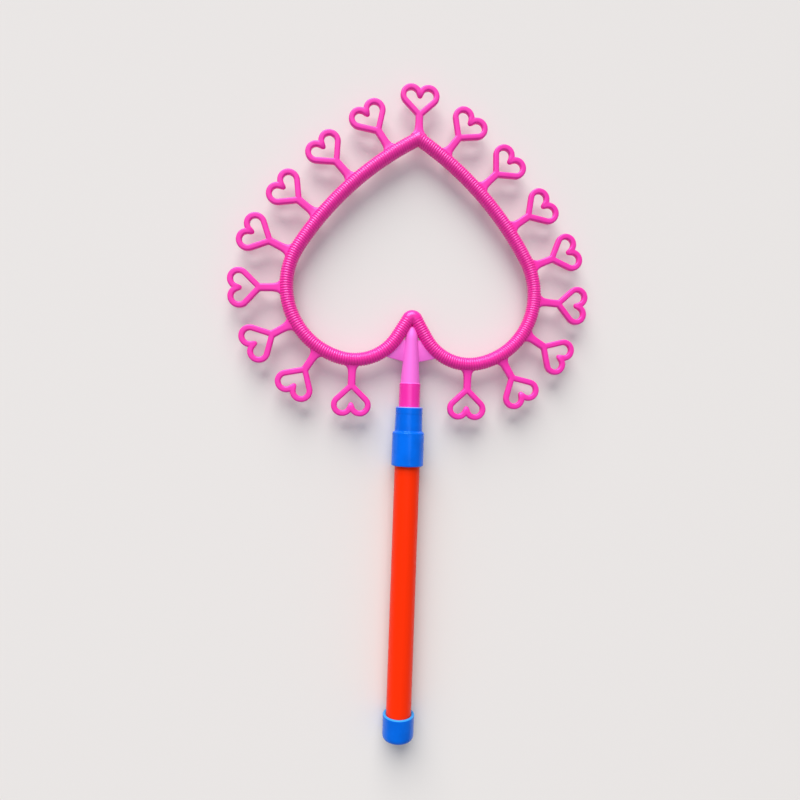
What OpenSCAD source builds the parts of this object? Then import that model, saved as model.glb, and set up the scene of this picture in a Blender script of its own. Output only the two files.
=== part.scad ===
// Bubble wand: a ribbed heart loop with seventeen small hearts, on a push-fit handle.
// The wand lies on a table. +Z is up, the handle runs along Y and the head points to +Y.
// The origin is on the table, below the middle of the whole wand. Sizes are in millimetres.

/* [Big heart] */
// Height of the big heart from notch to point, on the bar's centre line
heart_h = 114.8; // [104:0.2:126]
// Width of the big heart, on the bar's centre line
heart_w = 159.4; // [130:0.2:190]
// Radius of each round lobe, as a share of the width
lobe_share = 0.2886; // [0.27:0.0002:0.31]
// How far the lobes hang below the notch, as a share of the width
drop_share = 0.1744; // [0.16:0.0002:0.19]
// Radius of the long sides between lobe and point
side_r = 205; // [170:5:260]
// Radius that is left inside the bar's bend at the notch
notch_inner_r = 0.3; // [0.2:0.1:1.6]
// Angle between the stem and each straight arm of the notch
notch_angle = 31; // [28:1:34]
// Radius of the bend that leads each arm into its lobe, as a share of the lobe's radius
arm_share = 0.696; // [0.6:0.002:0.76]

/* [Ribbed bar] */
// Diameter of the big heart's bar, over the ribs
bar_d = 8.8; // [7.6:0.1:9.6]
// Depth of the grooves between the ribs
rib_depth = 0.55; // [0.3:0.05:0.8]
// Distance from one rib to the next
rib_pitch = 1.65; // [1.6:0.05:3]
// Sides of the bar's section
bar_sides = 8; // [6:2:10]

/* [Small hearts] */
// Outer width of a small heart
small_w = 25.1; // [23:0.1:27]
// Radius of a small heart's lobes, on the band's centre line
small_lobe_r = 5.2; // [4.8:0.1:5.6]
// Distance from a small heart's point to the centre of its lobes
small_point_l = 12.4; // [11.5:0.1:13.5]
// Width of the band that a small heart is made of
band_w = 3.7; // [3.2:0.1:4.2]
// Thickness of the band and of its stalk
band_t = 3.6; // [3:0.1:4.4]
// Chamfer along the edges of the band
band_chamfer = 0.8; // [0.4:0.1:1]
// Width of the stalk that carries a small heart
stalk_w = 4.8; // [4.2:0.1:5.4]
// Distance from the bar's centre line to a small heart's point
stalk_reach = 16.4; // [14:0.1:18]
// The same distance on the big heart's point
top_reach = 15; // [13.5:0.1:18]
// Width of the flare where a stalk meets the bar
flare_w = 8.4; // [7:0.1:9.4]
// Length of that flare outside the bar
flare_l = 3.2; // [2:0.1:4]

/* [Stem] */
// Length of the tapered part of the stem, counted from the notch
taper_l = 41.3; // [38:0.1:46]
// Diameter of the stem at the thin end of its taper
taper_top_d = 7.4; // [6:0.1:8]
// Diameter of the stem at the thick end of its taper
taper_base_d = 12.4; // [11.4:0.1:13]
// Length of the straight part that shows above the connector
collar_l = 15.9; // [12:0.1:20]
// Diameter of the straight part and of the spigot
spigot_d = 13.5; // [13.2:0.1:14]
// Diameter of the blind hole that cores the stem
core_d = 9.2; // [7:0.1:9.6]
// Wall between the top of the blind hole and the notch
core_top_wall = 22; // [18:0.5:30]
// How much narrower the blind hole is at the start of its pointed top
core_draft = 1; // [0.4:0.1:1.6]
// Thickness of the two gussets
gusset_t = 2.2; // [1.6:0.1:3]
// Distance from the notch to the gussets' lower corners on the stem
gusset_l = 27.4; // [25:0.1:30]
// How far the gussets' outer corners sit above the lower corners
gusset_rise = 3; // [1:0.1:4]

/* [Connector] */
// Outer diameter of the narrow half that takes the stem
socket_outer_d = 17.1; // [16.2:0.1:18]
// Depth of the stem's socket
socket_l = 17.5; // [14:0.1:18]
// Outer length of the narrow half
socket_outer_l = 16.5; // [14:0.1:20]
// Height of the raised lip round the socket's mouth
lip_l = 4.3; // [3:0.1:6]
// How far the lip stands out
lip_out = 0.2; // [0.1:0.05:0.4]
// Length of the sloping shoulder
shoulder_l = 2.5; // [2:0.1:4]
// Outer diameter of the wide half that takes the tube
sleeve_outer_d = 20.5; // [20.2:0.1:22]
// Depth of the tube's sleeve
sleeve_l = 17; // [14:0.1:18]
// Outer length of the wide half
sleeve_outer_l = 18.4; // [18:0.1:24]
// Diameter of the hole through the ledge between socket and sleeve
ledge_hole_d = 10; // [8:0.1:11]

/* [Handle] */
// Outer diameter of the tube
tube_d = 16; // [15.2:0.1:16.8]
// Wall of the tube
tube_wall = 1; // [0.8:0.1:1.6]
// Length of the tube
tube_l = 187.5; // [120:0.5:260]
// Outer diameter of the end cap
cap_d = 20.1; // [19.2:0.1:20.5]
// Length of the end cap
cap_l = 15.9; // [12:0.1:22]
// Thickness of the end cap's floor
cap_floor = 2; // [1.4:0.1:3]
// Radius of the rounded edge round the cap's end
cap_round = 2.2; // [0.6:0.1:3]

/* [Fits] */
// Radial running clearance of the three push fits
fit_gap = 0.05; // [0.02:0.01:0.1]
// End gap where a piece bottoms in its seat, and between features of the head
seat_gap = 0.05; // [0.02:0.01:0.2]
// Small chamfer on the turned edges
edge_chamfer = 0.4; // [0.2:0.1:0.6]

/* [Hidden] */
$fn = 72;

// Places of the small hearts on one side, from the notch, as shares of the half heart's length
heart_place_shares = [0.198, 0.287, 0.376, 0.466, 0.555, 0.668, 0.796, 0.921];
pink = "#f23cb4";
blue = "#0a6ee6";
orange = "#f5380c";

// The bar's centre line on the right side is a chain that starts at the notch:
// notch bend, straight arm, arm bend, lobe and long side, each tangent to the next.
bar_r = bar_d / 2;
notch_r = bar_r + notch_inner_r;
lobe_r = heart_w * lobe_share;
lobe_drop = heart_w * drop_share;
arm_r = lobe_r * arm_share;
lobe_c = [heart_w / 2 - lobe_r, lobe_r - lobe_drop];
point_p = [0, heart_h];

// The long side touches the lobe from outside its centre and runs through the point.
lobe_to_point = norm(point_p - lobe_c);
point_dir = (point_p - lobe_c) / lobe_to_point;
side_along = (pow(lobe_to_point, 2) + pow(side_r - lobe_r, 2) - pow(side_r, 2)) / (2 * lobe_to_point);
side_off = sqrt(pow(side_r - lobe_r, 2) - pow(side_along, 2));
side_c = lobe_c + point_dir * side_along + [-point_dir.y, point_dir.x] * side_off;

// The arm leaves the notch at its angle and its bend touches the lobe from inside.
arm_dir = [sin(notch_angle), -cos(notch_angle)];
arm_left = [cos(notch_angle), sin(notch_angle)];
notch_c = [0, -notch_r];
arm_start = notch_c + notch_r * arm_left;
arm_q = arm_start + arm_left * arm_r - lobe_c;
arm_b = arm_q * arm_dir;
arm_l = -arm_b + sqrt(pow(arm_b, 2) - arm_q * arm_q + pow(lobe_r - arm_r, 2));
bend_c = arm_start + arm_dir * arm_l + arm_left * arm_r;

// Headings along the chain, in degrees left of +X.
arm_heading = notch_angle - 90;
bend_heading = atan2(bend_c.y - lobe_c.y, bend_c.x - lobe_c.x) + 90;
lobe_heading = atan2(lobe_c.y - side_c.y, lobe_c.x - side_c.x) + 90;
point_heading = atan2(point_p.y - side_c.y, point_p.x - side_c.x) + 90;
point_slope = 180 - point_heading;

// Distances along the chain at which each stretch ends.
function arc_l(r, degrees) = r * degrees * PI / 180;
function arc_turn(r, l) = l / r * 180 / PI;
notch_end = arc_l(notch_r, -arm_heading);
arm_end = notch_end + arm_l;
bend_end = arm_end + arc_l(arm_r, bend_heading - arm_heading);
lobe_end = bend_end + arc_l(lobe_r, lobe_heading - bend_heading);
half_l = lobe_end + arc_l(side_r, point_heading - lobe_heading);

function heading(s) =
    s < notch_end ? -arc_turn(notch_r, s)
    : s < arm_end ? arm_heading
    : s < bend_end ? arm_heading + arc_turn(arm_r, s - arm_end)
    : s < lobe_end ? bend_heading + arc_turn(lobe_r, s - bend_end)
    : lobe_heading + arc_turn(side_r, s - lobe_end);
function right_of(h) = [sin(h), -cos(h)];
function bar_point(s) =
    s < notch_end ? notch_c - notch_r * right_of(heading(s))
    : s < arm_end ? arm_start + arm_dir * (s - notch_end)
    : s < bend_end ? bend_c + arm_r * right_of(heading(s))
    : s < lobe_end ? lobe_c + lobe_r * right_of(heading(s))
    : side_c + side_r * right_of(heading(s));

// The ribs stop where the two halves are mitred together at the point.
mitre_l = bar_r * tan(point_slope) + rib_pitch / 4;
rib_span = half_l - mitre_l;
rib_halves = 2 * round(rib_span / rib_pitch) + 1;

// Stations along the handle, from the end cap's face to the tip of the top heart.
tube_y = cap_floor + seat_gap;
connector_y = tube_y + tube_l + seat_gap - sleeve_l;
connector_l = sleeve_outer_l + shoulder_l + socket_outer_l;
spigot_y = connector_y + connector_l - socket_l + seat_gap;
notch_y = connector_y + connector_l + collar_l + taper_l;
small_lobe_x = small_w / 2 - band_w / 2 - small_lobe_r;
small_top = small_point_l + small_lobe_r + band_w / 2;
wand_l = notch_y + heart_h + top_reach + small_top;
axis_z = max(sleeve_outer_d, cap_d) / 2;
stem_l = notch_y - spigot_y;
socket_r = spigot_d / 2 + fit_gap;
sleeve_r = tube_d / 2 + fit_gap;

// Puts a shape drawn from the notch at its place over the table.
module at_notch() {
    translate([0, notch_y - wand_l / 2, axis_z]) children();
}

// Puts a turned shape, drawn as radius and station from the cap's face, along the handle.
module turned() {
    translate([0, -wand_l / 2, axis_z]) rotate([-90, 0, 0]) rotate_extrude() children();
}

// One ring of points round the bar's centre line.
function ring_points(s, r) =
    let (p = bar_point(s), out = right_of(heading(s)))
    [for (k = [0 : bar_sides - 1])
        let (a = 360 * k / bar_sides)
        [p.x + r * cos(a) * out.x, p.y + r * cos(a) * out.y, r * sin(a)]];

// The ring in the mitre plane, where both halves meet at the point.
function mitre_points(r) =
    let (out = right_of(point_heading))
    [for (k = [0 : bar_sides - 1])
        let (a = 360 * k / bar_sides)
        [0, heart_h + r * cos(a) * (out.y + out.x * tan(point_slope)), r * sin(a)]];

function mirrored(points) = [for (p = points) [-p.x, p.y, p.z]];

// The ribbed bar is one closed chain of rings: grooves and crests by turns.
module heart_ring() {
    half = [for (i = [1 : rib_halves])
        ring_points(i * rib_span / rib_halves, i % 2 == 1 ? bar_r : bar_r - rib_depth)];
    rings = concat(
        [ring_points(0, bar_r - rib_depth)],
        half,
        [mitre_points(bar_r)],
        [for (i = [rib_halves - 1 : -1 : 0]) mirrored(half[i])]
    );
    count = len(rings);
    faces = [for (i = [0 : count - 1], k = [0 : bar_sides - 1])
        let (
            a = i * bar_sides + k,
            b = i * bar_sides + (k + 1) % bar_sides,
            c = (i + 1) % count * bar_sides + (k + 1) % bar_sides,
            d = (i + 1) % count * bar_sides + k
        )
        each [[a, b, c], [a, c, d]]];
    color(pink) at_notch() polyhedron([for (ring = rings) each ring], faces);
}

// The arms' smooth envelope, run on past the notch, which the stem's tip is cut to.
module arms_envelope() {
    reach = 2 * notch_r;
    for (side = [-1, 1])
        translate([side * arm_start.x, arm_start.y, 0]) rotate([90, 0, side * notch_angle])
            translate([0, 0, -reach]) cylinder(r = bar_r + seat_gap, h = reach + arm_l + bar_r);
}

// Tapered stem, straight collar and cored spigot, turned in one piece.
module head_stem() {
    base_y = notch_y - taper_l;
    core_top = notch_y - core_top_wall;
    core_r = core_d / 2;
    tip_y = notch_y - bar_r - seat_gap;
    color(pink) difference() {
        turned() polygon([
            [core_r, spigot_y],
            [spigot_d / 2 - edge_chamfer, spigot_y],
            [spigot_d / 2, spigot_y + edge_chamfer],
            [spigot_d / 2, base_y],
            [taper_base_d / 2, base_y],
            [taper_top_d / 2, tip_y],
            [0, tip_y],
            [0, core_top],
            [core_r - core_draft, core_top - core_r],
            [core_r, base_y]
        ]);
        at_notch() arms_envelope();
    }
}

// Radius of the tapered stem at a distance below the notch.
function stem_r(y) =
    taper_top_d / 2 + (taper_base_d - taper_top_d) / 2 * (y - bar_r) / (taper_l - bar_r);

// A flat web between the stem and the arm, drawn on the right side.
module gusset() {
    outer_y = -(gusset_l - gusset_rise);
    steps = [for (s = [arm_end - arm_l / 2 : bar_r / 4 : bend_end]) s];
    edge = [for (s = steps)
        let (p = bar_point(s) + (bar_r + seat_gap) * right_of(heading(s)))
        if (p.y > outer_y && p.x > stem_r(-p.y) + 2 * seat_gap) p];
    color(pink) at_notch() translate([0, 0, -gusset_t / 2])
        linear_extrude(gusset_t) polygon(concat(
            edge,
            [[stem_r(gusset_l) + seat_gap, -gusset_l]],
            [[stem_r(-edge[0].y) + seat_gap, edge[0].y]]
        ));
}
module gusset_right() {
    gusset();
}
module gusset_left() {
    mirror([1, 0, 0]) gusset();
}

// Chamfered section of a band or stalk, centred.
module band_section(w) {
    x = w / 2;
    y = band_t / 2;
    c = band_chamfer;
    polygon([
        [x, c - y], [x, y - c], [x - c, y], [c - x, y],
        [-x, y - c], [-x, c - y], [c - x, -y], [x - c, -y]
    ]);
}

// A straight band from the origin along -Y.
module band_bar(w, l) {
    rotate([90, 0, 0]) linear_extrude(l) band_section(w);
}

// A small heart with its point at the origin and its lobes towards +Y.
module small_loop() {
    reach = norm([small_lobe_x, small_point_l]);
    side_angle = atan2(small_point_l, small_lobe_x) - asin(small_lobe_r / reach);
    side_l = sqrt(pow(reach, 2) - pow(small_lobe_r, 2));
    nub_r = band_w / 2;
    for (side = [0, 1]) mirror([side, 0, 0])
        translate([small_lobe_x, small_point_l, 0]) rotate([0, 0, side_angle - 90]) {
            translate([small_lobe_r, 0, 0]) band_bar(band_w, side_l);
            rotate_extrude(angle = 270 - side_angle)
                translate([small_lobe_r, 0]) band_section(band_w);
        }
    translate([0, small_point_l, 0]) rotate_extrude() intersection() {
        band_section(2 * nub_r);
        translate([0, -band_t]) square([nub_r, 2 * band_t]);
    }
}

// Stalk and flare from the bar's centre line up to the small heart's point.
module stalk(reach) {
    rise = band_w / 3;
    translate([0, rise, 0]) band_bar(stalk_w, reach + rise);
    translate([0, -reach, -band_t / 2 + band_chamfer])
        linear_extrude(band_t - 2 * band_chamfer) polygon([
            [-flare_w / 2, 0], [flare_w / 2, 0],
            [stalk_w / 2, bar_r + flare_l], [-stalk_w / 2, bar_r + flare_l]
        ]);
}

// The straight envelope of the bar where a stalk sits on it.
module bar_envelope() {
    rotate([0, 90, 0]) cylinder(r = bar_r + seat_gap, h = 2 * flare_w, center = true);
}

// A small heart on the side of the big one.
module side_heart(place_share, side) {
    s = place_share * half_l;
    p = bar_point(s);
    color(pink) at_notch() mirror([side, 0, 0])
        translate([p.x, p.y, 0]) rotate([0, 0, heading(s) - 180]) difference() {
            translate([0, stalk_reach, 0]) {
                small_loop();
                stalk(stalk_reach);
            }
            bar_envelope();
        }
}

// The small heart on the big heart's point, cut to both sloping sides.
module top_heart() {
    color(pink) at_notch() translate([0, heart_h, 0]) difference() {
        translate([0, top_reach, 0]) {
            small_loop();
            stalk(top_reach);
        }
        for (side = [0, 1]) mirror([side, 0, 0]) intersection() {
            rotate([0, 0, -point_slope]) bar_envelope();
            translate([0, -flare_w, -flare_w]) cube(2 * flare_w);
        }
    }
}

// Number 1 sits on the point, 2 to 9 run down the right side and 10 to 17 down the left.
module small_heart(number) {
    per_side = len(heart_place_shares);
    if (number == 1) top_heart();
    else if (number <= 1 + per_side) side_heart(heart_place_shares[1 + per_side - number], 0);
    else side_heart(heart_place_shares[1 + 2 * per_side - number], 1);
}

// Stepped sleeve: socket for the stem above, sleeve for the tube below, ledge between.
module connector() {
    low = connector_y;
    top = low + connector_l;
    outer = sleeve_outer_d / 2;
    narrow = socket_outer_d / 2;
    color(blue) turned() polygon([
        [sleeve_r + edge_chamfer, low],
        [outer - edge_chamfer, low],
        [outer, low + edge_chamfer],
        [outer, low + sleeve_outer_l],
        [narrow, low + sleeve_outer_l + shoulder_l],
        [narrow, top - lip_l],
        [narrow + lip_out, top - lip_l + lip_out],
        [narrow + lip_out, top - edge_chamfer],
        [narrow + lip_out - edge_chamfer, top],
        [socket_r + edge_chamfer, top],
        [socket_r, top - edge_chamfer],
        [socket_r, top - socket_l],
        [ledge_hole_d / 2, top - socket_l],
        [ledge_hole_d / 2, low + sleeve_l],
        [sleeve_r, low + sleeve_l],
        [sleeve_r, low + edge_chamfer]
    ]);
}

// Plain thin tube.
module handle_tube() {
    color(orange) turned()
        translate([tube_d / 2 - tube_wall, tube_y]) square([tube_wall, tube_l]);
}

// Cup that closes the tube's end.
module end_cap() {
    r = cap_d / 2;
    color(blue) turned() difference() {
        union() {
            translate([0, cap_round]) square([r, cap_l - cap_round - edge_chamfer]);
            square([r - cap_round, cap_l]);
            translate([r - cap_round, cap_round]) circle(cap_round);
            polygon([
                [0, cap_l - edge_chamfer], [r, cap_l - edge_chamfer],
                [r - edge_chamfer, cap_l], [0, cap_l]
            ]);
        }
        translate([0, cap_floor]) square([sleeve_r, cap_l]);
        polygon([
            [0, cap_l - edge_chamfer], [sleeve_r, cap_l - edge_chamfer],
            [sleeve_r + edge_chamfer, cap_l], [0, cap_l + edge_chamfer]
        ]);
    }
}

heart_ring();
head_stem();
gusset_left();
gusset_right();
small_heart(1);  // small_heart_01
small_heart(2);  // small_heart_02
small_heart(3);  // small_heart_03
small_heart(4);  // small_heart_04
small_heart(5);  // small_heart_05
small_heart(6);  // small_heart_06
small_heart(7);  // small_heart_07
small_heart(8);  // small_heart_08
small_heart(9);  // small_heart_09
small_heart(10);  // small_heart_10
small_heart(11);  // small_heart_11
small_heart(12);  // small_heart_12
small_heart(13);  // small_heart_13
small_heart(14);  // small_heart_14
small_heart(15);  // small_heart_15
small_heart(16);  // small_heart_16
small_heart(17);  // small_heart_17
connector();
handle_tube();
end_cap();
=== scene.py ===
"""Bubble wand with a heart head: its finished pieces, plastics, table, light and camera.

Lengths are real ones in millimetres and are turned to metres with MM where a mesh is made.
Angles are in degrees up to the place where they are used.
"""

import math

import bmesh
import bpy
from mathutils import Matrix, Vector


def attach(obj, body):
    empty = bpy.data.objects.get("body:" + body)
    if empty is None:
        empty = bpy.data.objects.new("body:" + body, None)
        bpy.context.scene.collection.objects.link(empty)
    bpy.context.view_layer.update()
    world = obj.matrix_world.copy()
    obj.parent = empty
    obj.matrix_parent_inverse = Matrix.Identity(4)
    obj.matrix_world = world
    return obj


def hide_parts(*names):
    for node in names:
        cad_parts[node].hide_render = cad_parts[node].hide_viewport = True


MM = 0.001
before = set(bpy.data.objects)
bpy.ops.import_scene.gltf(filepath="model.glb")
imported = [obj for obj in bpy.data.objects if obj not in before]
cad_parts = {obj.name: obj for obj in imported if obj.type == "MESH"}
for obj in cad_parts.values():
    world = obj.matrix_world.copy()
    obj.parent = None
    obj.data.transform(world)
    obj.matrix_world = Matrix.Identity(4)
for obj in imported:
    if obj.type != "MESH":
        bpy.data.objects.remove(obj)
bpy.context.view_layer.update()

# In metres: points nearer than this are one point, or lie on the middle plane.
TOUCHING = 1e-7

# Stations in the frame: the handle's axis, the big heart's notch and the cap's end face.
AXIS_Z = 10.25
NOTCH_Y = 58.975
CAP_FACE_Y = -208.225

# Big heart, on the bar's centre line, measured from the notch.
HEART_H = 114.8
HEART_W = 159.4
LOBE_R = 46.0
LOBE_DROP = 27.8
SIDE_R = 205.0
NOTCH_R = 4.7
NOTCH_ANGLE = 31.0
ARM_R = 32.0
BAR_R = 4.4
# The moulded bend is a little tighter and higher than the plain solid's.
TIGHT_NOTCH_R = 2.6
TIGHT_NOTCH_RISE = 1.3
# Points of the centre line lie about this far apart.
LINE_STEP = 0.5

# Ribs round the bar, and the smooth bar that is left at the notch and at the point.
RIB_PITCH = 1.55
RIB_DEPTH = 0.44
SMOOTH_AT_NOTCH = 3.4
SMOOTH_AT_POINT = 5.6
RINGS_PER_RIB = 4
BAR_SIDES = 24
# Where the mirrored halves meet, points nearer than this are merged.
MITRE_GAP = 0.002
# A groove's depth falls from its middle with this power, which keeps it narrow.
GROOVE_POWER = 2.6
# The ribs reach their full depth within this many pitches.
FADE_PITCHES = 1.6

# Small hearts, with the small heart's own point as origin.
BAND_W = 3.7
BAND_CORNER_SHARE = 0.55
BAND_VOXEL = 0.36
LOBE_X = 5.5
POINT_L = 12.4
SMALL_LOBE_R = 5.2
# Their stalks reach from the bar's centre line to that point.
STALK_W = 4.8
STALK_REACH = 16.4
TOP_REACH = 15.0
# A stalk's foot is flared: extra half width, where on the stalk it starts, and how fast it fades.
SIDE_FLARE = (3.0, 3.4, 1.5)
TOP_FLARE = (3.4, 1.9, 2.0)
FLARE_EXTRA_THICKNESS = 0.5
# Places of the eight stalks of a side, as shares of the half heart's length.
PLACE_SHARES = [0.198, 0.287, 0.376, 0.466, 0.555, 0.668, 0.796, 0.921]

# Gussets, measured from the notch.
WEB_T = 2.2
WEB_EDGE_R = 0.3
WEB_OVERLAP = 0.9
WEB_TOP, WEB_FOOT = -6.5, -24.6
WEB_INNER_X, WEB_OUTER_X = 1.2, 20.0

# Turned pieces, with stations measured from the cap's end face. The fits are the plain solids' own.
STEM_TAPER_L = 41.3
CORE_R = 4.6
SPIGOT_R, SPIGOT_END = 6.75, 192.55
SOCKET_R = 6.8
SLEEVE_FOOT, SLEEVE_TOP = 173.7, 211.1
LEDGE_HOLE_R, LEDGE_FOOT, LEDGE_TOP = 5.0, 189.6, 192.5
FIT_BORE_R = 8.05
TUBE_BORE_R, TUBE_R = 7.0, 8.0
TUBE_FOOT, TUBE_TOP = 2.05, 189.55
CAP_R, CAP_FLOOR, CAP_TOP = 10.05, 2.0, 15.9
ROUND_SEGMENTS = 96
STEM_SEGMENTS = 64

# Colours of the plastics, and the strength and tint of their shine.
# The third, pale pink is painted sheen on the stem's taper and on the gussets.
PINK, DEEP_PINK, PAINTED_SHEEN_PINK = "#f928ae", "#f422a7", "#f66eda"
VIOLET_SHINE, BLUE_SHINE, ORANGE_SHINE = (1.0, "#f6bcff"), (0.45, "#74bfff"), (0.2, "#ffc9a8")
# The rims of the blue mouths carry a painted glint, a paler colour, and are duller over this
# length.
RIM_GLINT_L = 0.5

# Camera: its place over the handle's axis, its turn and lens, and how far the wand lies rolled.
CAMERA_PLACE = (-6.0, 7.1, 397.5)
CAMERA_TURN = 2.0
CAMERA_LENS = 28.08
WAND_ROLL = 7.0

# Table and light, with lengths in metres.
TABLE_HALF = 4.0
ROOM_LEVEL, WALL_LEVEL = 0.38, 0.86
WINDOW_ANGLE = 50.0
PANEL_SIZE = (0.24, 1.6)


# ---------------------------------------------------------------- small helpers


def srgb(colour):
    """Turns an sRGB hex colour to the linear values that the shaders use."""
    parts = [int(colour[i : i + 2], 16) / 255 for i in (1, 3, 5)]
    return [c / 12.92 if c <= 0.04045 else ((c + 0.055) / 1.055) ** 2.4 for c in parts] + [1.0]


def add(tree, kind, settings=None, inputs=None):
    """Adds a node, sets its properties and fills its inputs with values or nodes' outputs."""
    node = tree.nodes.new(kind)
    for key, value in (settings or {}).items():
        setattr(node, key, value)
    for key, value in (inputs or {}).items():
        if isinstance(value, bpy.types.NodeSocket):
            tree.links.new(value, node.inputs[key])
        else:
            node.inputs[key].default_value = value
    return node


def new_material(name, values):
    """Makes a material with these values on its shader, and returns both."""
    material = bpy.data.materials.new(name)
    material.use_nodes = True
    shader = material.node_tree.nodes["Principled BSDF"]
    for key, value in values.items():
        shader.inputs[key].default_value = value
    return material, shader


def growing_tree(name, sizes):
    """Starts a geometry tree with named inputs, and returns it with what it is given."""
    tree = bpy.data.node_groups.new(name, "GeometryNodeTree")
    for label, kind in {"Geometry": "Geometry", **sizes, "Plastic": "Material"}.items():
        tree.interface.new_socket(label, in_out="INPUT", socket_type="NodeSocket" + kind)
    tree.interface.new_socket("Geometry", in_out="OUTPUT", socket_type="NodeSocketGeometry")
    return tree, add(tree, "NodeGroupInput").outputs


def end_in_plastic(tree, geometry, plastic):
    """Ends a geometry tree with real geometry in its plastic."""
    real = add(tree, "GeometryNodeRealizeInstances", inputs={"Geometry": geometry})
    clad = add(tree, "GeometryNodeSetMaterial", inputs={
        "Geometry": real.outputs["Geometry"], "Material": plastic})
    add(tree, "NodeGroupOutput", inputs={"Geometry": clad.outputs["Geometry"]})


def new_object(name, mesh):
    """Puts a mesh into the scene as an object at the origin."""
    thing = bpy.data.objects.new(name, mesh)
    bpy.context.scene.collection.objects.link(thing)
    return thing


def mesh_of(name, build):
    """Makes a mesh from a bmesh that build fills, merged and with faces that point outwards."""
    bm = bmesh.new()
    build(bm)
    bmesh.ops.remove_doubles(bm, verts=bm.verts, dist=TOUCHING)
    bmesh.ops.recalc_face_normals(bm, faces=bm.faces)
    mesh = bpy.data.meshes.new(name)
    bm.to_mesh(mesh)
    bm.free()
    return mesh


def polyline(name, lines, **attributes):
    """Makes a mesh of open edge chains in millimetres, with attribute values for each point."""
    points, edges = [], []
    for line in lines:
        start = len(points)
        points += [(x * MM, y * MM, z * MM) for x, y, z in line]
        edges += [(start + i, start + i + 1) for i in range(len(line) - 1)]
    mesh = bpy.data.meshes.new(name)
    mesh.from_pydata(points, edges, [])
    for key, chains in attributes.items():
        layer = mesh.attributes.new(key, "FLOAT", "POINT")
        layer.data.foreach_set("value", [value for chain in chains for value in chain])
    return mesh


def grown(source, tree, values, name, extra=()):
    """Runs a geometry tree, and any modifiers after it, on a mesh and keeps a plain mesh."""
    seed = new_object(name + "_seed", source)
    modifier = seed.modifiers.new("tree", "NODES")
    modifier.node_group = tree
    identifiers = {
        item.name: item.identifier
        for item in tree.interface.items_tree
        if item.item_type == "SOCKET" and item.in_out == "INPUT"
    }
    for key, value in values.items():
        modifier[identifiers[key]] = value
    for kind, settings in extra:
        later = seed.modifiers.new(kind.lower(), kind)
        for key, value in settings.items():
            setattr(later, key, value)
    view = bpy.context.evaluated_depsgraph_get()
    made = bpy.data.meshes.new_from_object(seed.evaluated_get(view), depsgraph=view)
    made.name = name
    seed.modifiers.clear()
    bpy.data.objects.remove(seed)
    return made


def finish_piece(name, mesh, body, nodes, plastic, smooth_angle=None):
    """Gives a piece its plastic and its body, and puts it in the place of the plain CAD nodes."""
    mesh.materials.clear()
    mesh.materials.append(plastic)
    mesh.polygons.foreach_set("use_smooth", [True] * len(mesh.polygons))
    if smooth_angle is not None:
        mesh.set_sharp_from_angle(angle=math.radians(smooth_angle))
    piece = new_object(name, mesh)
    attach(piece, body)
    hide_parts(*nodes)


# ---------------------------------------------------------------- camera, table and light


def photo_camera():
    """Above the wand, a little off its middle.

    In the photograph the wand lies rolled about its round handle, right side down, so the camera
    swings round the handle's axis by as much.
    """
    data = bpy.data.cameras.new("photo_camera")
    data.sensor_width = 36.0
    data.lens = CAMERA_LENS
    data.clip_start = 0.01
    camera = bpy.data.objects.new("photo_camera", data)
    axis = Matrix.Translation((0.0, 0.0, AXIS_Z * MM))
    swing = Matrix.Rotation(math.radians(-WAND_ROLL), 4, "Y")
    above = Matrix.Translation([distance * MM for distance in CAMERA_PLACE])
    turn = Matrix.Rotation(math.radians(CAMERA_TURN), 4, "Z")
    camera.matrix_world = axis @ swing @ above @ turn
    bpy.context.scene.collection.objects.link(camera)
    bpy.context.scene.camera = camera


def pale_table():
    """A wide plain table top; painted board scatters the light evenly and keeps shadows soft."""
    def build(bm):
        bmesh.ops.create_grid(bm, x_segments=2, y_segments=2, size=TABLE_HALF)

    board, _ = new_material("painted_board_pale", {
        "Base Color": srgb("#e3e2df"), "Roughness": 0.9, "Specular IOR Level": 0.0})
    table = new_object("table_top", mesh_of("table_top", build))
    table.data.materials.append(board)


def soft_light():
    """A wide window beyond the head, a long panel overhead and an even pale room.

    The window is a sun lamp of a window's angular size, which lights the whole table evenly.
    """
    world = bpy.data.worlds.new("pale_room")
    world.use_nodes = True
    tree = world.node_tree
    room = tree.nodes["Background"]
    room.inputs["Color"].default_value = srgb("#f4f6ff")
    # The eye sees a pale wall behind the table, while less than half of that lights the wand.
    ray = add(tree, "ShaderNodeLightPath")
    seen = add(tree, "ShaderNodeMapRange", inputs={
        "Value": ray.outputs["Is Camera Ray"], "To Min": ROOM_LEVEL, "To Max": WALL_LEVEL})
    tree.links.new(seen.outputs["Result"], room.inputs["Strength"])
    bpy.context.scene.world = world
    window = bpy.data.lights.new("window", "SUN")
    window.angle = math.radians(WINDOW_ANGLE)
    panel = bpy.data.lights.new("overhead_panel", "AREA")
    panel.shape = "RECTANGLE"
    panel.size, panel.size_y = PANEL_SIZE
    # Each lamp stands at a place in metres, looks at the origin and has a power and a colour.
    for lamp, place, power, colour in (
        (window, (-0.3, 1.4, 0.85), 3.9, "#fffaf6"),
        (panel, (-0.3, 0.1, 1.6), 3.0, "#f6f2ff"),
    ):
        lamp.energy = power
        lamp.color = srgb(colour)[:3]
        holder = bpy.data.objects.new(lamp.name, lamp)
        holder.location = place
        holder.rotation_euler = (-Vector(place)).to_track_quat("-Z", "Y").to_euler()
        bpy.context.scene.collection.objects.link(holder)


# ---------------------------------------------------------------- plastics


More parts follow.
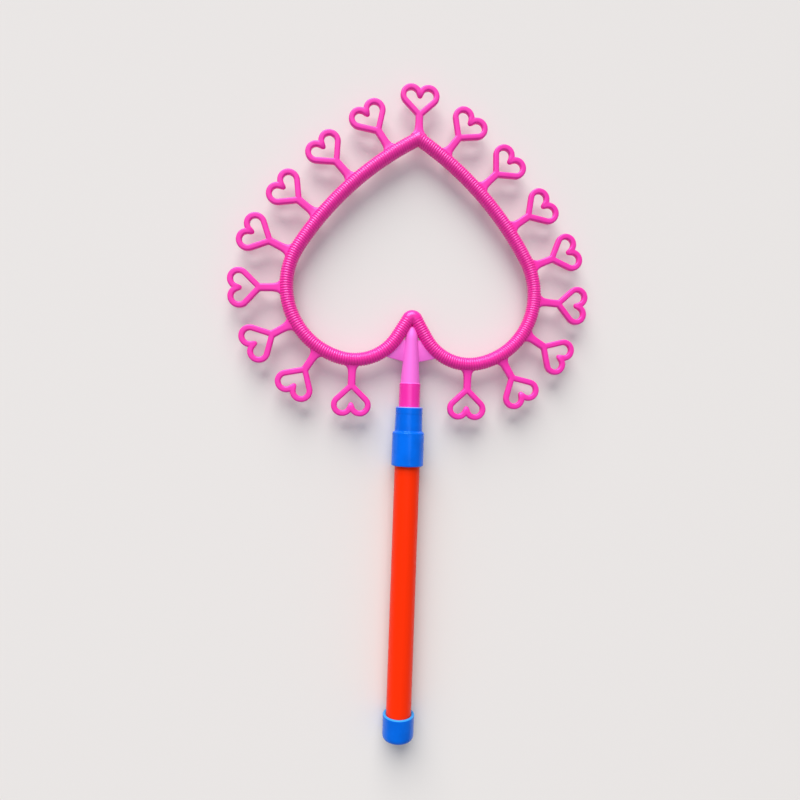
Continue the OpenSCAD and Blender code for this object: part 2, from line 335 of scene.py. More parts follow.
def moulded_polypropylene(
    name, colour, deep_colour, roughness, shine, painted_highlight_past=None, painted_groove_shade=None, parting_line=True
):
    """Injection-moulded polypropylene.

    It gives the eye a saturated, faintly cloudy colour, a skin that is a little uneven in gloss,
    the fine grain of the mould and the hair line where the mould's halves met.
    Past a station along the wand the colour is painted paler and the finish is duller. On the
    stem's taper the paler colour is painted sheen over the rougher finish of a spark-eroded mould.
    At the mouths of the blue pieces it is a painted glint on the rims. The deeper colour between
    ribs is painted shade in the grooves.
    """
    cloud_size, mark_size, grain_size = 9.0, 2.5, 0.8
    grain_depth = 0.0015
    line_half_width, line_height_in_grains = 0.15, 3.0
    # Changes of the roughness by handling marks, and past the station of the painted highlight.
    glossier, duller, frosted = 0.004, 0.008, 0.22

    plastic, shader = new_material(name, {
        "IOR": 1.55, "Specular IOR Level": shine[0], "Specular Tint": srgb(shine[1])})
    tree = plastic.node_tree
    place = add(tree, "ShaderNodeTexCoord")
    split = add(tree, "ShaderNodeSeparateXYZ", inputs={"Vector": place.outputs["Object"]})
    # Pigment clouds.
    clouds = add(tree, "ShaderNodeTexNoise", inputs={
        "Vector": place.outputs["Object"], "Scale": 1 / (cloud_size * MM),
        "Detail": 3.0, "Roughness": 0.5})
    spread = add(tree, "ShaderNodeMapRange", inputs={
        "Value": clouds.outputs["Fac"], "From Min": 0.35, "From Max": 0.65})
    tint = add(tree, "ShaderNodeMix", {"data_type": "RGBA"}, {
        "Factor": spread.outputs["Result"], 6: srgb(colour), 7: srgb(deep_colour)})
    skin = tint.outputs[2]
    # Handling marks change the gloss a little.
    marks = add(tree, "ShaderNodeTexNoise", inputs={
        "Vector": place.outputs["Object"], "Scale": 1 / (mark_size * MM),
        "Detail": 1.5, "Roughness": 0.5})
    dulled = add(tree, "ShaderNodeMapRange", inputs={
        "Value": marks.outputs["Fac"], "From Min": 0.3, "From Max": 0.7,
        "To Min": roughness - glossier, "To Max": roughness + duller})
    dullness = dulled.outputs["Result"]
    # Painted highlight: past the station the colour turns paler, and the roughness rises.
    if painted_highlight_past:
        pale, station = painted_highlight_past
        past = add(tree, "ShaderNodeMath", {"operation": "GREATER_THAN"}, {
            0: split.outputs["Y"], 1: station * MM})
        paler = add(tree, "ShaderNodeMix", {"data_type": "RGBA"}, {
            "Factor": past.outputs[0], 6: skin, 7: srgb(pale)})
        skin = paler.outputs[2]
        rough = add(tree, "ShaderNodeMath", {"operation": "MULTIPLY_ADD"}, {
            0: past.outputs[0], 1: frosted, 2: dullness})
        dullness = rough.outputs[0]
    # Painted shade: the colour deepens in the grooves between ribs, where shade falls.
    if painted_groove_shade:
        rib = add(tree, "ShaderNodeAttribute", {"attribute_name": "groove"})
        sunk = add(tree, "ShaderNodeMapRange", inputs={
            "Value": rib.outputs["Fac"], "From Min": 0.05, "From Max": 0.8})
        deeper = add(tree, "ShaderNodeMix", {"data_type": "RGBA"}, {
            "Factor": sunk.outputs["Result"], 6: skin, 7: srgb(painted_groove_shade)})
        skin = deeper.outputs[2]
    tree.links.new(skin, shader.inputs["Base Color"])
    tree.links.new(dullness, shader.inputs["Roughness"])
    # Grain of the mould, drawn as coarse as it needs to show.
    grain = add(tree, "ShaderNodeTexNoise", inputs={
        "Vector": place.outputs["Object"], "Scale": 1 / (grain_size * MM), "Detail": 1.0})
    height = grain.outputs["Fac"]
    if parting_line:
        off = add(tree, "ShaderNodeMath", {"operation": "SUBTRACT"}, {
            0: split.outputs["Z"], 1: AXIS_Z * MM})
        away = add(tree, "ShaderNodeMath", {"operation": "ABSOLUTE"}, {0: off.outputs[0]})
        line = add(tree, "ShaderNodeMapRange", inputs={
            "Value": away.outputs[0], "From Min": 0.0, "From Max": line_half_width * MM,
            "To Min": line_height_in_grains, "To Max": 0.0})
        both = add(tree, "ShaderNodeMath", {"operation": "ADD"}, {
            0: height, 1: line.outputs["Result"]})
        height = both.outputs[0]
    bump = add(tree, "ShaderNodeBump", inputs={
        "Height": height, "Strength": 1.0, "Distance": grain_depth * MM})
    tree.links.new(bump.outputs["Normal"], shader.inputs["Normal"])
    return plastic


def extruded_tube_plastic(name, colour, deep_colour, shine):
    """Extruded tube: even bright colour with faint draw lines that run along the handle."""
    line_spacing, line_length, line_depth = 0.7, 70, 0.01
    scuff_size = 4

    plastic, shader = new_material(name, {
        "IOR": 1.5, "Specular IOR Level": shine[0], "Specular Tint": srgb(shine[1])})
    tree = plastic.node_tree
    place = add(tree, "ShaderNodeTexCoord")
    across = 1 / (line_spacing * MM)
    along = add(tree, "ShaderNodeMapping", inputs={
        "Vector": place.outputs["Object"], "Scale": (across, 1 / (line_length * MM), across)})
    lines = add(tree, "ShaderNodeTexNoise", inputs={
        "Vector": along.outputs["Vector"], "Scale": 1.0, "Detail": 2.0})
    tint = add(tree, "ShaderNodeMix", {"data_type": "RGBA"}, {
        "Factor": lines.outputs["Fac"], 6: srgb(colour), 7: srgb(deep_colour)})
    tree.links.new(tint.outputs[2], shader.inputs["Base Color"])
    scuffs = add(tree, "ShaderNodeTexNoise", inputs={
        "Vector": place.outputs["Object"], "Scale": 1 / (scuff_size * MM),
        "Detail": 5.0, "Roughness": 0.65})
    gloss = add(tree, "ShaderNodeMapRange", inputs={
        "Value": scuffs.outputs["Fac"], "From Min": 0.3, "From Max": 0.7,
        "To Min": 0.3, "To Max": 0.44})
    tree.links.new(gloss.outputs["Result"], shader.inputs["Roughness"])
    bump = add(tree, "ShaderNodeBump", inputs={
        "Height": lines.outputs["Fac"], "Strength": 1.0, "Distance": line_depth * MM})
    tree.links.new(bump.outputs["Normal"], shader.inputs["Normal"])
    return plastic


# ---------------------------------------------------------------- big heart


def half_heart_line(notch_r, notch_rise=0.0):
    """The bar's centre line from the notch down the right lobe and up to the point.

    A chain of tangent stretches: notch bend, straight arm, arm bend, lobe and long side.
    Each point is x, y and the heading in degrees left of +X, measured from the notch.
    """
    lobe = Vector((HEART_W / 2 - LOBE_R, LOBE_R - LOBE_DROP))
    point = Vector((0.0, HEART_H))
    # The long side's centre lies where its arc touches the lobe and ends in the point.
    span = (point - lobe).length
    towards = (point - lobe) / span
    reach = (span**2 + (SIDE_R - LOBE_R) ** 2 - SIDE_R**2) / (2 * span)
    aside = math.sqrt((SIDE_R - LOBE_R) ** 2 - reach**2)
    side = lobe + towards * reach + Vector((-towards.y, towards.x)) * aside
    # The straight arm is as long as lets the arm bend touch the lobe from inside.
    lean = math.radians(NOTCH_ANGLE)
    down = Vector((math.sin(lean), -math.cos(lean)))
    left = Vector((math.cos(lean), math.sin(lean)))
    notch = Vector((0.0, notch_rise - notch_r))
    start = notch + notch_r * left
    gap = start + left * ARM_R - lobe
    along = gap.dot(down)
    arm_l = -along + math.sqrt(along**2 - gap.dot(gap) + (LOBE_R - ARM_R) ** 2)
    bend = start + down * arm_l + left * ARM_R
    arm_turn = NOTCH_ANGLE - 90
    bend_turn = math.degrees(math.atan2(bend.y - lobe.y, bend.x - lobe.x)) + 90
    bend_turn -= 360 * round(bend_turn / 360)
    lobe_turn = math.degrees(math.atan2(lobe.y - side.y, lobe.x - side.x)) + 90
    point_turn = math.degrees(math.atan2(point.y - side.y, point.x - side.x)) + 90

    line = []
    fewest_steps = 8

    def arc(centre, radius, start_turn, end_turn):
        length = math.radians(abs(end_turn - start_turn)) * radius
        count = max(fewest_steps, round(length / LINE_STEP))
        sign = 1 if end_turn > start_turn else -1
        for i in range(count + 1):
            turn = start_turn + (end_turn - start_turn) * i / count
            out = Vector((math.sin(math.radians(turn)), -math.cos(math.radians(turn))))
            line.append((*(centre + sign * radius * out), turn))

    arc(notch, notch_r, 0.0, arm_turn)
    arc(bend, ARM_R, arm_turn, bend_turn)
    arc(lobe, LOBE_R, bend_turn, lobe_turn)
    arc(side, SIDE_R, lobe_turn, point_turn)
    # Where two stretches meet, their common point is kept once.
    doubled = 0.01
    return [p for i, p in enumerate(line)
            if i == 0 or math.dist(p[:2], line[i - 1][:2]) > doubled]


def at_share(line, share):
    """Place and heading at a share of the half heart's length."""
    lengths = [0.0]
    for a, b in zip(line, line[1:]):
        lengths.append(lengths[-1] + math.dist(a[:2], b[:2]))
    wanted = share * lengths[-1]
    for i in range(1, len(line)):
        if lengths[i] >= wanted:
            f = (wanted - lengths[i - 1]) / (lengths[i] - lengths[i - 1])
            return [a + (b - a) * f for a, b in zip(line[i - 1], line[i])]


def ribbed_bar_tree():
    """Sweeps a ribbed bar along half the heart, mitres it on the middle plane and mirrors it."""
    tree, given = growing_tree("ribbed_bar", {
        "Bar radius": "Float", "Rib depth": "Float", "Rib pitch": "Float",
        "Smooth start": "Float", "Smooth finish": "Float",
        "Rings per rib": "Int", "Sides": "Int"})
    curve = add(tree, "GeometryNodeMeshToCurve", inputs={"Mesh": given["Geometry"]})
    ring_step = add(tree, "ShaderNodeMath", {"operation": "DIVIDE"}, {
        0: given["Rib pitch"], 1: given["Rings per rib"]})
    rings = add(tree, "GeometryNodeResampleCurve", {"mode": "LENGTH"}, {
        "Curve": curve.outputs["Curve"], "Length": ring_step.outputs[0]})
    # The share is 0 in the middle of a groove and 1 on the crest of a rib.
    length = add(tree, "GeometryNodeSplineParameter").outputs["Length"]
    half_pitch = add(tree, "ShaderNodeMath", {"operation": "MULTIPLY"}, {
        0: given["Rib pitch"], 1: 0.5})
    swing = add(tree, "ShaderNodeMath", {"operation": "PINGPONG"}, {
        0: length, 1: half_pitch.outputs[0]})
    share = add(tree, "ShaderNodeMath", {"operation": "DIVIDE", "use_clamp": True}, {
        0: swing.outputs[0], 1: half_pitch.outputs[0]})
    from_crest = add(tree, "ShaderNodeMath", {"operation": "SUBTRACT"}, {
        0: 1.0, 1: share.outputs[0]})
    narrow = add(tree, "ShaderNodeMath", {"operation": "POWER"}, {
        0: from_crest.outputs[0], 1: GROOVE_POWER})
    # The ribs fade out before both ends.
    whole = add(tree, "GeometryNodeSplineLength").outputs["Length"]
    left_over = add(tree, "ShaderNodeMath", {"operation": "SUBTRACT"}, {0: whole, 1: length})
    fades = []
    for way, smooth in (
        (length, given["Smooth start"]),
        (left_over.outputs[0], given["Smooth finish"]),
    ):
        full = add(tree, "ShaderNodeMath", {"operation": "MULTIPLY_ADD"}, {
            0: given["Rib pitch"], 1: FADE_PITCHES, 2: smooth})
        fades.append(add(tree, "ShaderNodeMapRange", inputs={
            "Value": way, "From Min": smooth, "From Max": full.outputs[0]}).outputs["Result"])
    fade = add(tree, "ShaderNodeMath", {"operation": "MULTIPLY"}, {0: fades[0], 1: fades[1]})
    groove = add(tree, "ShaderNodeMath", {"operation": "MULTIPLY"}, {
        0: narrow.outputs[0], 1: fade.outputs[0]})
    cut = add(tree, "ShaderNodeMath", {"operation": "MULTIPLY"}, {
        0: groove.outputs[0], 1: given["Rib depth"]})
    radius = add(tree, "ShaderNodeMath", {"operation": "SUBTRACT"}, {
        0: given["Bar radius"], 1: cut.outputs[0]})
    # The groove share is kept on the points, where the plastic paints shade in the grooves.
    marked = add(tree, "GeometryNodeStoreNamedAttribute", {
        "data_type": "FLOAT", "domain": "POINT"}, {
        "Geometry": rings.outputs["Curve"], "Name": "groove", "Value": groove.outputs[0]})
    caught = add(tree, "GeometryNodeCaptureAttribute", {"domain": "POINT"}, {
        "Geometry": marked.outputs["Geometry"]})
    caught.capture_items.new("VECTOR", "Along")
    tangent = add(tree, "GeometryNodeInputTangent").outputs["Tangent"]
    tree.links.new(tangent, caught.inputs["Along"])
    section = add(tree, "GeometryNodeCurvePrimitiveCircle", {"mode": "RADIUS"}, {
        "Resolution": given["Sides"], "Radius": 1.0})
    swept = add(tree, "GeometryNodeCurveToMesh", inputs={
        "Curve": caught.outputs["Geometry"], "Profile Curve": section.outputs["Curve"],
        "Scale": radius.outputs[0], "Fill Caps": False})
    # What crosses the middle plane slides back along the bar onto it, which makes the mitre.
    here = add(tree, "GeometryNodeInputPosition").outputs["Position"]
    x = add(tree, "ShaderNodeSeparateXYZ", inputs={"Vector": here}).outputs["X"]
    along_x = add(tree, "ShaderNodeSeparateXYZ", inputs={
        "Vector": caught.outputs["Along"]}).outputs["X"]
    ratio = add(tree, "ShaderNodeMath", {"operation": "DIVIDE"}, {0: x, 1: along_x})
    back = add(tree, "ShaderNodeMath", {"operation": "MULTIPLY"}, {0: ratio.outputs[0], 1: -1.0})
    slide = add(tree, "ShaderNodeVectorMath", {"operation": "SCALE"}, {
        0: caught.outputs["Along"], "Scale": back.outputs[0]})
    beyond = add(tree, "FunctionNodeCompare", {
        "data_type": "FLOAT", "operation": "LESS_THAN"}, {0: x, 1: 0.0})
    mitred = add(tree, "GeometryNodeSetPosition", inputs={
        "Geometry": swept.outputs["Mesh"], "Selection": beyond.outputs["Result"],
        "Offset": slide.outputs["Vector"]})
    flat = add(tree, "FunctionNodeCompare", {
        "data_type": "FLOAT", "operation": "LESS_THAN"}, {0: x, 1: TOUCHING})
    half = add(tree, "GeometryNodeDeleteGeometry", {"domain": "FACE", "mode": "ALL"}, {
        "Geometry": mitred.outputs["Geometry"], "Selection": flat.outputs["Result"]})
    other = add(tree, "GeometryNodeTransform", inputs={
        "Geometry": half.outputs["Geometry"], "Scale": (-1.0, 1.0, 1.0)})
    turned = add(tree, "GeometryNodeFlipFaces", inputs={"Mesh": other.outputs["Geometry"]})
    pair = add(tree, "GeometryNodeJoinGeometry", inputs={"Geometry": half.outputs["Geometry"]})
    tree.links.new(turned.outputs["Mesh"], pair.inputs["Geometry"])
    merged = add(tree, "GeometryNodeMergeByDistance", inputs={
        "Geometry": pair.outputs["Geometry"], "Distance": MITRE_GAP * MM})
    end_in_plastic(tree, merged.outputs["Geometry"], given["Plastic"])
    return tree


def outward(mesh):
    """Closes the small holes that a tight mitre leaves and turns a grown mesh's faces outwards.

    A face with opposite corners on the middle plane is split the other way, so that no edge
    lies across it there.
    """
    bm = bmesh.new()
    bm.from_mesh(mesh)
    bmesh.ops.holes_fill(bm, edges=[e for e in bm.edges if e.is_boundary], sides=0)
    bmesh.ops.triangulate(bm, faces=[f for f in bm.faces if len(f.verts) > 4])
    for face in [f for f in bm.faces if len(f.verts) == 4]:
        a, b, c, d = face.verts
        for p, q, r, s in ((a, b, c, d), (b, c, d, a)):
            if max(abs(p.co.x), abs(r.co.x)) < TOUCHING:
                bmesh.utils.face_split(face, q, s)
                break
    bmesh.ops.recalc_face_normals(bm, faces=bm.faces)
    bm.to_mesh(mesh)
    bm.free()
    return mesh


def ribbed_heart(line, plastic):
    """The big heart's bar. Its line runs on past both ends of the half, to be cut clean there."""
    # At the notch the line runs on as its own mirror image, and at the point straight on.
    past_notch, past_point, steps = 1.4, BAR_R * 1.2, 8
    start = [(-x, y) for x, y, _ in line[1:4] if x < past_notch][::-1]
    x_end, y_end, heading = line[-1]
    turn = math.radians(heading)
    finish = [
        (x_end + past_point * math.cos(turn) * i / steps,
         y_end + past_point * math.sin(turn) * i / steps)
        for i in range(1, steps + 1)]
    path = [(x, y + NOTCH_Y, AXIS_Z) for x, y in start + [p[:2] for p in line] + finish]
    mesh = outward(grown(polyline("half_heart", [path]), ribbed_bar_tree(), {
        "Bar radius": BAR_R * MM, "Rib depth": RIB_DEPTH * MM, "Rib pitch": RIB_PITCH * MM,
        "Smooth start": SMOOTH_AT_NOTCH * MM, "Smooth finish": SMOOTH_AT_POINT * MM,
        "Rings per rib": RINGS_PER_RIB, "Sides": BAR_SIDES, "Plastic": plastic},
        "heart_ring_ribbed"))
    finish_piece("heart_ring_ribbed", mesh, "head", ["heart_ring"], plastic)


# ---------------------------------------------------------------- small hearts


def band_tree():
    """Sweeps a softly squared section along edge chains, scaled by each point's half width."""
    tree, given = growing_tree("soft_band", {"Corner share": "Float"})
    curve = add(tree, "GeometryNodeMeshToCurve", inputs={"Mesh": given["Geometry"]})
    upright = add(tree, "GeometryNodeSetCurveNormal", {"mode": "Z_UP"}, {
        "Curve": curve.outputs["Curve"]})
    square = add(tree, "GeometryNodeCurvePrimitiveQuadrilateral", {"mode": "RECTANGLE"}, {
        "Width": 2.0, "Height": 2.0})
    section = add(tree, "GeometryNodeFilletCurve", {"mode": "POLY"}, {
        "Curve": square.outputs["Curve"], "Count": 5, "Radius": given["Corner share"]})
    width = add(tree, "GeometryNodeInputNamedAttribute", {"data_type": "FLOAT"}, {
        "Name": "half_width"})
    metres = add(tree, "ShaderNodeMath", {"operation": "MULTIPLY"}, {
        0: width.outputs["Attribute"], 1: MM})
    swept = add(tree, "GeometryNodeCurveToMesh", inputs={
        "Curve": upright.outputs["Curve"], "Profile Curve": section.outputs["Curve"],
        "Scale": metres.outputs[0], "Fill Caps": True})
    # The stalk grows less in thickness than in width.
    flat = add(tree, "GeometryNodeInputNamedAttribute", {"data_type": "FLOAT"}, {
        "Name": "flatness"})
    height = add(tree, "ShaderNodeSeparateXYZ", inputs={
        "Vector": add(tree, "GeometryNodeInputPosition").outputs["Position"]}).outputs["Z"]
    down = add(tree, "ShaderNodeMath", {"operation": "MULTIPLY"}, {
        0: height, 1: flat.outputs["Attribute"]})
    change = add(tree, "ShaderNodeCombineXYZ", inputs={"Z": down.outputs[0]})
    thin = add(tree, "GeometryNodeSetPosition", inputs={
        "Geometry": swept.outputs["Mesh"], "Offset": change.outputs["Vector"]})
    end_in_plastic(tree, thin.outputs["Geometry"], given["Plastic"])
    return tree


def small_heart_mesh(name, reach, flare, plastic, tree):
    """One small heart on its stalk, which stands towards +Y from the bar's centre line."""
    arc_steps, side_steps, tail_steps, stalk_steps = 40, 10, 7, 48
    # Each half is a straight side from the point and a lobe's arc. The arc runs a little past the
    # lobe's inner side, by an angle in radians, where both halves merge in the notch.
    past_inner_side = 0.35
    corner = math.hypot(LOBE_X, POINT_L)
    side_turn = math.atan2(POINT_L, LOBE_X) - math.asin(SMALL_LOBE_R / corner)
    start, end = side_turn - math.pi / 2, math.pi + past_inner_side
    arc = []
    for i in range(arc_steps + 1):
        a = start + (end - start) * i / arc_steps
        arc.append((LOBE_X + SMALL_LOBE_R * math.cos(a), POINT_L + SMALL_LOBE_R * math.sin(a)))
    side = [(arc[0][0] * i / side_steps, arc[0][1] * i / side_steps) for i in range(side_steps)]
    count = len(side + arc)
    # The last stretch closes to a round end, down to a small share of the band.
    end_share = 0.12
    tail = [min(1.0, (count - 1 - i) / tail_steps) for i in range(count)]
    half_width = [BAND_W / 2 * max(end_share, math.sqrt(1 - (1 - t) ** 2)) for t in tail]

    # The stalk starts in the bar and ends a little inside the small heart's point.
    inside_point = 1.2
    extra, root, fade = flare
    stalk, stalk_w, stalk_flat = [], [], []
    for i in range(stalk_steps + 1):
        y = root + (reach + inside_point - root) * i / stalk_steps
        swell = math.exp(-(y - root) / fade)
        thickness = BAND_W / 2 + FLARE_EXTRA_THICKNESS * swell
        stalk.append((0.0, y, 0.0))
        stalk_w.append(STALK_W / 2 + extra * swell)
        stalk_flat.append(thickness / stalk_w[-1] - 1)

    halves = [[(hand * x, y + reach, 0.0) for x, y in side + arc] for hand in (1, -1)]
    lines = polyline(
        name + "_lines", halves + [stalk], half_width=[half_width, half_width, stalk_w],
        flatness=[[0.0] * count, [0.0] * count, stalk_flat])
    # The remesh melts the bands into one moulding, and the smoothing takes its steps off.
    return grown(lines, tree, {"Corner share": BAND_CORNER_SHARE, "Plastic": plastic}, name, extra=(
        ("REMESH", {"mode": "VOXEL", "voxel_size": BAND_VOXEL * MM, "use_smooth_shade": True}),
        ("SMOOTH", {"factor": 0.5, "iterations": 4}),
    ))


def placing_tree():
    """Puts a finished small heart at its place round the bar, turned to stand straight out."""
    tree, given = growing_tree("heart_round_the_bar", {"Place": "Vector", "Turn": "Float"})
    spot = add(tree, "GeometryNodePoints", inputs={"Count": 1, "Position": given["Place"]})
    turn = add(tree, "ShaderNodeCombineXYZ", inputs={"Z": given["Turn"]})
    set_out = add(tree, "GeometryNodeInstanceOnPoints", inputs={
        "Points": spot.outputs["Points"], "Instance": given["Geometry"],
        "Rotation": turn.outputs["Vector"]})
    end_in_plastic(tree, set_out.outputs["Instances"], given["Plastic"])
    return tree


def small_hearts(line, plastic):
    """Number 01 sits on the point, 02 to 09 run down the right side and 10 to 17 down the left."""
    band, placing = band_tree(), placing_tree()
    top = small_heart_mesh("top_heart", TOP_REACH, TOP_FLARE, plastic, band)
    side = small_heart_mesh("side_heart", STALK_REACH, SIDE_FLARE, plastic, band)
    stands = [(top, 0.0, HEART_H, 0.0)]
    for hand in (1, -1):
        for share in reversed(PLACE_SHARES):
            x, y, heading = at_share(line, share)
            stands.append((side, hand * x, y, hand * math.radians(heading - 180)))
    for number, (mesh, x, y, turn) in enumerate(stands, 1):
        name = f"small_heart_{number:02d}"
        placed = grown(mesh.copy(), placing, {
            "Place": (x * MM, (y + NOTCH_Y) * MM, AXIS_Z * MM), "Turn": turn,
            "Plastic": plastic}, name + "_loop")
        finish_piece(name + "_loop", placed, "head", [name], plastic)


# ---------------------------------------------------------------- gussets


def gussets(line, plastic):
    """Flat webs between stem and arms, run a little into both so that no gap shows."""
    # Edges that turn by more than this, in radians, get the small moulded rounding.
    rounded_from = 1.0
    inner = []
    for x, y, heading in line:
        out = (math.sin(math.radians(heading)), -math.cos(math.radians(heading)))
        edge_x = x + (BAR_R - WEB_OVERLAP) * out[0]
        edge_y = y + (BAR_R - WEB_OVERLAP) * out[1]
        if WEB_INNER_X < edge_x < WEB_OUTER_X and WEB_FOOT < edge_y < WEB_TOP:
            inner.append((edge_x, edge_y))
    # The edge along the bar is closed by the foot's corner and two points inside the stem.
    outline = inner + [(4.4, -27.5), (1.2, -24.0), (0.6, inner[0][1])]
    for side, name in ((1, "gusset_right"), (-1, "gusset_left")):
        def build(bm):
            underside = (AXIS_Z - WEB_T / 2) * MM
            low = [bm.verts.new((side * x * MM, (y + NOTCH_Y) * MM, underside)) for x, y in outline]
            floor = bm.faces.new(low)
            lifted = bmesh.ops.extrude_face_region(bm, geom=[floor])["geom"]
            for vert in (g for g in lifted if isinstance(g, bmesh.types.BMVert)):
                vert.co.z += WEB_T * MM
            bmesh.ops.recalc_face_normals(bm, faces=bm.faces)
            sharp = [
                e for e in bm.edges
                if len(e.link_faces) == 2 and e.calc_face_angle() > rounded_from]
            bmesh.ops.bevel(
                bm, geom=sharp, offset=WEB_EDGE_R * MM, segments=3, profile=0.5, affect="EDGES")

        web = mesh_of(name + "_web", build)
        finish_piece(name + "_web", web, "head", [name], plastic, smooth_angle=40)


# ---------------------------------------------------------------- turned pieces


def softened(corners):
    """Rounds the corners of a closed outline, each given as radius, station and rounding.

    A point a little past each rounding keeps the straight wall's shading straight.
    """
    steps = 5
    # Shares: of a wall for each rounding at most, and of the rounding for the point past it.
    most, past = 0.45, 0.1
    points = []
    for i, (radius, station, rounding) in enumerate(corners):
        here = Vector((radius, station))
        before = Vector(corners[i - 1][:2]) - here
        after = Vector(corners[(i + 1) % len(corners)][:2]) - here
        reach = min(rounding, before.length * most, after.length * most)
        if reach <= 0:
            points.append(tuple(here))
            continue
        a, b = here + before.normalized() * reach, here + after.normalized() * reach
        points.append(tuple(a + before.normalized() * reach * past))
        for step in range(steps + 1):
            t = step / steps
            points.append(tuple(a * (1 - t) ** 2 + here * 2 * t * (1 - t) + b * t**2))
        points.append(tuple(b + after.normalized() * reach * past))
    return points


def turned_mesh(name, corners, segments=ROUND_SEGMENTS):
    """Turns a softened outline round the handle's axis."""
    def build(bm):
        rings = []
        for radius, station in softened(corners):
            y = (CAP_FACE_Y + station) * MM
            if radius == 0:
                rings.append([bm.verts.new((0.0, y, AXIS_Z * MM))])
                continue
            rings.append([
                bm.verts.new((
                    radius * MM * math.cos(2 * math.pi * k / segments), y,
                    AXIS_Z * MM + radius * MM * math.sin(2 * math.pi * k / segments)))
                for k in range(segments)])
        for i, ring in enumerate(rings):
            after = rings[(i + 1) % len(rings)]
            if len(ring) == 1 and len(after) == 1:
                continue
            for k in range(segments):
                n = (k + 1) % segments
                ends = [
                    ring[k % len(ring)], ring[n % len(ring)],
                    after[n % len(after)], after[k % len(after)]]
                face = [end for j, end in enumerate(ends) if end not in ends[:j]]
                if len(face) > 2:
                    bm.faces.new(face)

    return mesh_of(name, build)


def head_stem(plastic):
    """Tapered stem, straight collar and hollow spigot in one turned moulding."""
    notch = NOTCH_Y - CAP_FACE_Y
    base = notch - STEM_TAPER_L
    mesh = turned_mesh("head_stem_turned", [
        # The core, from its narrow end to the spigot's mouth.
        (0.0, notch - 22.0, 0), (4.1, notch - 26.6, 1.0),
        (CORE_R, base, 0.5), (CORE_R, SPIGOT_END, 0.2),
        # The spigot and collar, up to the step.
        (SPIGOT_R, SPIGOT_END, 0.5), (SPIGOT_R, base + 0.05, 0.3),
        # The taper, which closes under the notch.
        (6.2, base + 0.25, 0.15), (3.95, notch - 10.5, 2.5),
        (2.2, notch - 5.6, 1.0), (0.0, notch - 4.3, 0),
    ], STEM_SEGMENTS)
    finish_piece(
        "head_stem_turned", mesh, "head", ["head_stem"], plastic, smooth_angle=35)


def stepped_connector(plastic):
    """Stepped push-fit sleeve, with every moulded edge a little rounded."""
    low, top = SLEEVE_FOOT, SLEEVE_TOP
    mesh = turned_mesh("connector_stepped", [
        # The wide sleeve's outside, from its mouth to the shoulder.
        (FIT_BORE_R, low, 0.5), (10.24, low, 0.9), (10.16, top - 16.4, 0.5),
        # The socket's outside, a little wider toward the shoulder and with a lip at its mouth.
        (8.86, top - 15.2, 0.3), (8.52, top - 4.5, 0.12), (8.62, top - 4.2, 0.12), (8.6, top, 1.0),
        # The socket's bore, the ledge between the two bores, and back into the wide one.
        (SOCKET_R, top, 1.0), (SOCKET_R, LEDGE_TOP, 0.3), (LEDGE_HOLE_R, LEDGE_TOP, 0.3),
        (LEDGE_HOLE_R, LEDGE_FOOT, 0.3), (FIT_BORE_R, LEDGE_FOOT, 0.3),
    ])
    finish_piece(
        "connector_stepped", mesh, "coupler", ["connector"], plastic,
        smooth_angle=40)


def orange_tube(plastic):
    """Cut length of tube, its edges only just broken."""
    mesh = turned_mesh("handle_tube_cut", [
        (TUBE_BORE_R, TUBE_FOOT, 0.12), (TUBE_R, TUBE_FOOT, 0.2),
        (TUBE_R, TUBE_TOP, 0.2), (TUBE_BORE_R, TUBE_TOP, 0.12),
    ])
    finish_piece(
        "handle_tube_cut", mesh, "handle", ["handle_tube"], plastic,
        smooth_angle=40)


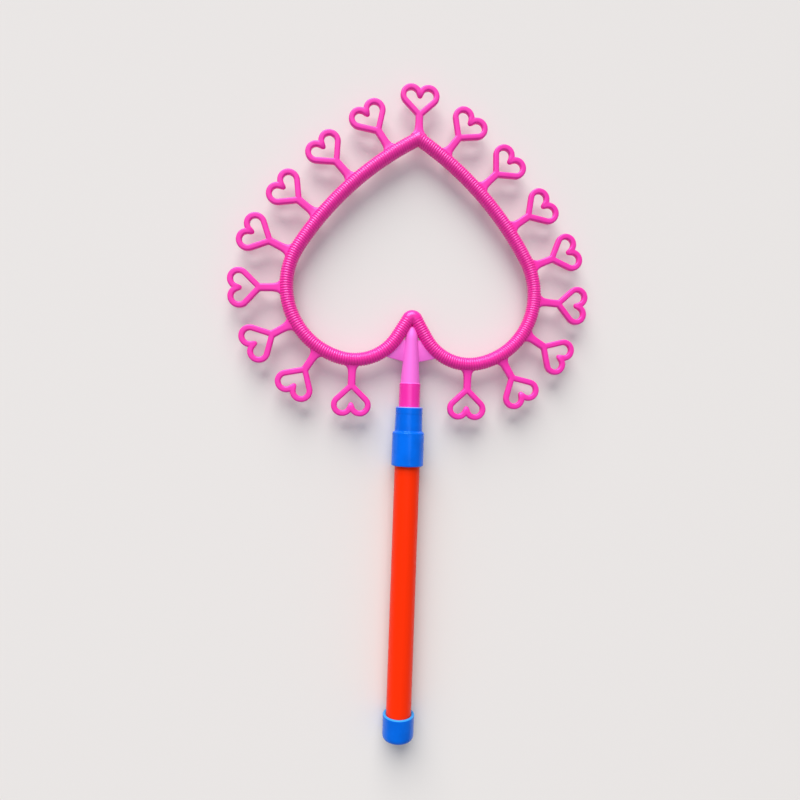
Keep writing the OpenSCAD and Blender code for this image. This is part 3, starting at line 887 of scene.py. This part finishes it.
def push_on_cap(plastic):
    """Push-on cap with a rounded end, and the small dished gate mark in the middle of it."""
    mesh = turned_mesh("end_cap_rounded", [
        # The gate mark and the end face.
        (0.0, 0.25, 0), (1.4, 0.25, 0.2), (1.9, 0.0, 0.2), (CAP_R, 0.0, 3.2),
        # The mouth and the bore down to its floor.
        (CAP_R, CAP_TOP, 0.9), (FIT_BORE_R, CAP_TOP, 0.9),
        (FIT_BORE_R, CAP_FLOOR, 0.4), (0.0, CAP_FLOOR, 0),
    ])
    finish_piece(
        "end_cap_rounded", mesh, "cap", ["end_cap"], plastic, smooth_angle=40)


# ---------------------------------------------------------------- the whole wand


bpy.context.scene.view_settings.view_transform = "Standard"
photo_camera()
pale_table()
soft_light()

# The ribbed bar's grooves are painted a deeper pink, as shade.
pink_ribbed = moulded_polypropylene(
    "pink_polypropylene_ribbed", "#fa24a6", "#f61f9f", 0.32, VIOLET_SHINE,
    painted_groove_shade="#e81490", parting_line=False)
# Past the step the taper is painted paler as sheen, and its finish is duller.
pink_stem = moulded_polypropylene(
    "pink_polypropylene_stem", PINK, DEEP_PINK, 0.26, VIOLET_SHINE,
    painted_highlight_past=(PAINTED_SHEEN_PINK, NOTCH_Y - STEM_TAPER_L))
# The gussets are painted paler as sheen, over a dull finish.
pink_web = moulded_polypropylene(
    "pink_polypropylene_painted_sheen", PAINTED_SHEEN_PINK, "#f264d2", 0.5, VIOLET_SHINE)
pink_loops = moulded_polypropylene(
    "pink_polypropylene_polished", PINK, DEEP_PINK, 0.44, VIOLET_SHINE)
# The paler rim colours at the blue mouths are painted glints.
blue_sleeve = moulded_polypropylene(
    "blue_polypropylene_polished", "#006ef0", "#0064df", 0.2, BLUE_SHINE,
    painted_highlight_past=("#9a95f2", CAP_FACE_Y + SLEEVE_TOP - RIM_GLINT_L), parting_line=False)
# The cap's blue is painted a little darker than the sleeve's, as painted shade.
blue_cap = moulded_polypropylene(
    "blue_polypropylene_painted_shade", "#0067df", "#005dcf", 0.2, BLUE_SHINE,
    painted_highlight_past=("#3499e8", CAP_FACE_Y + CAP_TOP - RIM_GLINT_L), parting_line=False)
orange_extruded = extruded_tube_plastic(
    "orange_extruded_tube", "#fd3203", "#f52d02", ORANGE_SHINE)

heart_line = half_heart_line(NOTCH_R)
ribbed_heart(half_heart_line(TIGHT_NOTCH_R, TIGHT_NOTCH_RISE), pink_ribbed)
small_hearts(heart_line, pink_loops)
head_stem(pink_stem)
gussets(heart_line, pink_web)
stepped_connector(blue_sleeve)
orange_tube(orange_extruded)
push_on_cap(blue_cap)
